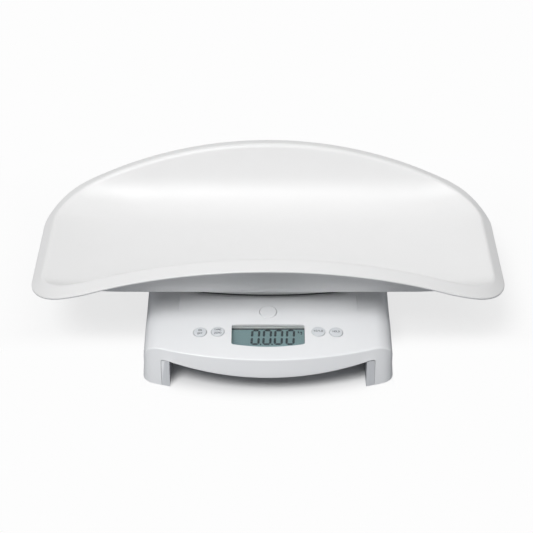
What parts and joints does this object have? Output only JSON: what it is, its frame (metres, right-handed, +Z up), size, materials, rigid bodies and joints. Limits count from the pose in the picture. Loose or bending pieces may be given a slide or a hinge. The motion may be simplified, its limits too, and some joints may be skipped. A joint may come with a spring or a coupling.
{
  "type": "baby scale",
  "caption": "Electronic baby scale with a low sloped base, display, keys, release button and a wide trough-shaped tray that lifts off.",
  "frame": {"origin": "on the floor, under the middle of the whole object's box", "axes": "+X to the right along the tray, +Y to the back away from the display, +Z up"},
  "size_m": [0.5482, 0.331, 0.157],
  "materials": {
    "tray_plastic": "smooth white moulded ABS, satin gloss",
    "seat_plastic": "light grey moulded ABS",
    "cover_plastic": "white moulded ABS, fine satin texture",
    "housing_plastic": "light grey moulded ABS",
    "key_plastic": "light grey moulded keys with grey print",
    "bezel_plastic": "white moulded frame",
    "lens_clear": "clear acrylic window",
    "lcd_glass": "grey-green liquid-crystal display",
    "board_laminate": "green glass-fibre circuit board",
    "black_plastic": "black moulded parts",
    "foot_rubber": "dark grey rubber",
    "screw_steel": "zinc-plated steel",
    "cell_steel": "sheet steel",
    "spring_steel": "bright spring steel",
    "latch_acetal": "grey acetal slide",
    "cell_jacket": "plain printed sleeve"
  },
  "bodies": {
    "base": {"top_cover": "cover_plastic", "bottom_housing": "housing_plastic", "housing_screw_1": "screw_steel", "housing_screw_2": "screw_steel", "housing_screw_3": "screw_steel", "housing_screw_4": "screw_steel", "housing_screw_5": "screw_steel", "housing_screw_6": "screw_steel", "display_lens": "lens_clear", "display_bezel": "bezel_plastic", "lcd_panel": "lcd_glass", "lcd_reflector": "bezel_plastic", "main_board": "board_laminate", "controller_chip": "black_plastic", "key_switch_far_left": "black_plastic", "key_switch_near_left": "black_plastic", "key_switch_near_right": "black_plastic", "key_switch_far_right": "black_plastic", "release_spring": "spring_steel", "load_cell_front_left": "cell_steel", "load_cell_front_right": "cell_steel", "load_cell_rear_left": "cell_steel", "load_cell_rear_right": "cell_steel", "foot_carrier_front_left": "housing_plastic", "foot_carrier_front_right": "housing_plastic", "foot_carrier_rear_left": "housing_plastic", "foot_carrier_rear_right": "housing_plastic", "foot_front_left": "foot_rubber", "foot_front_right": "foot_rubber", "foot_rear_left": "foot_rubber", "foot_rear_right": "foot_rubber", "cell_1": "cell_jacket", "cell_2": "cell_jacket", "cell_3": "cell_jacket", "cell_4": "cell_jacket", "cell_5": "cell_jacket", "cell_6": "cell_jacket", "contact_plate_front": "spring_steel", "contact_plate_rear": "spring_steel"},
    "tray_unit": {"tray": "tray_plastic", "tray_seat": "seat_plastic", "tray_screw_1": "screw_steel", "tray_screw_2": "screw_steel", "tray_screw_3": "screw_steel", "tray_screw_4": "screw_steel"},
    "release_button": {"release_button": "cover_plastic"},
    "latch_slide": {"latch_slide": "latch_acetal"},
    "key_far_left": {"key_far_left": "key_plastic"},
    "key_near_left": {"key_near_left": "key_plastic"},
    "key_near_right": {"key_near_right": "key_plastic"},
    "key_far_right": {"key_far_right": "key_plastic"},
    "battery_door": {"battery_door": "housing_plastic"}
  },
  "joints": [
    {"name": "tray_lift", "type": "slide", "parent": "base", "child": "tray_unit", "axis": [0, 0, 1], "range_m": [0, 0.1]},
    {"name": "release_press", "type": "slide", "parent": "base", "child": "release_button", "axis": [0, 0, -1], "range_m": [0, 0.003], "stiffness_N_per_m": 300, "springref_m": -0.003, "deforming": ["release_spring"]},
    {"name": "latch_move", "type": "slide", "parent": "base", "child": "latch_slide", "axis": [0, 1, 0], "range_m": [0, 0.003]},
    {"name": "key_far_left_press", "type": "slide", "parent": "base", "child": "key_far_left", "axis": [0, 0.1816, -0.9834], "range_m": [0, 0.0008], "stiffness_N_per_m": 800, "springref_m": -0.001},
    {"name": "key_near_left_press", "type": "slide", "parent": "base", "child": "key_near_left", "axis": [0, 0.1816, -0.9834], "range_m": [0, 0.0008], "stiffness_N_per_m": 800, "springref_m": -0.001},
    {"name": "key_near_right_press", "type": "slide", "parent": "base", "child": "key_near_right", "axis": [0, 0.1816, -0.9834], "range_m": [0, 0.0008], "stiffness_N_per_m": 800, "springref_m": -0.001},
    {"name": "key_far_right_press", "type": "slide", "parent": "base", "child": "key_far_right", "axis": [0, 0.1816, -0.9834], "range_m": [0, 0.0008], "stiffness_N_per_m": 800, "springref_m": -0.001},
    {"name": "battery_door_slide", "type": "slide", "parent": "base", "child": "battery_door", "axis": [0, 1, 0], "range_m": [0, 0.06]}
  ],
  "couplings": [
    {"joint": "latch_move", "follows": "release_press", "ratio": 1}
  ]
}
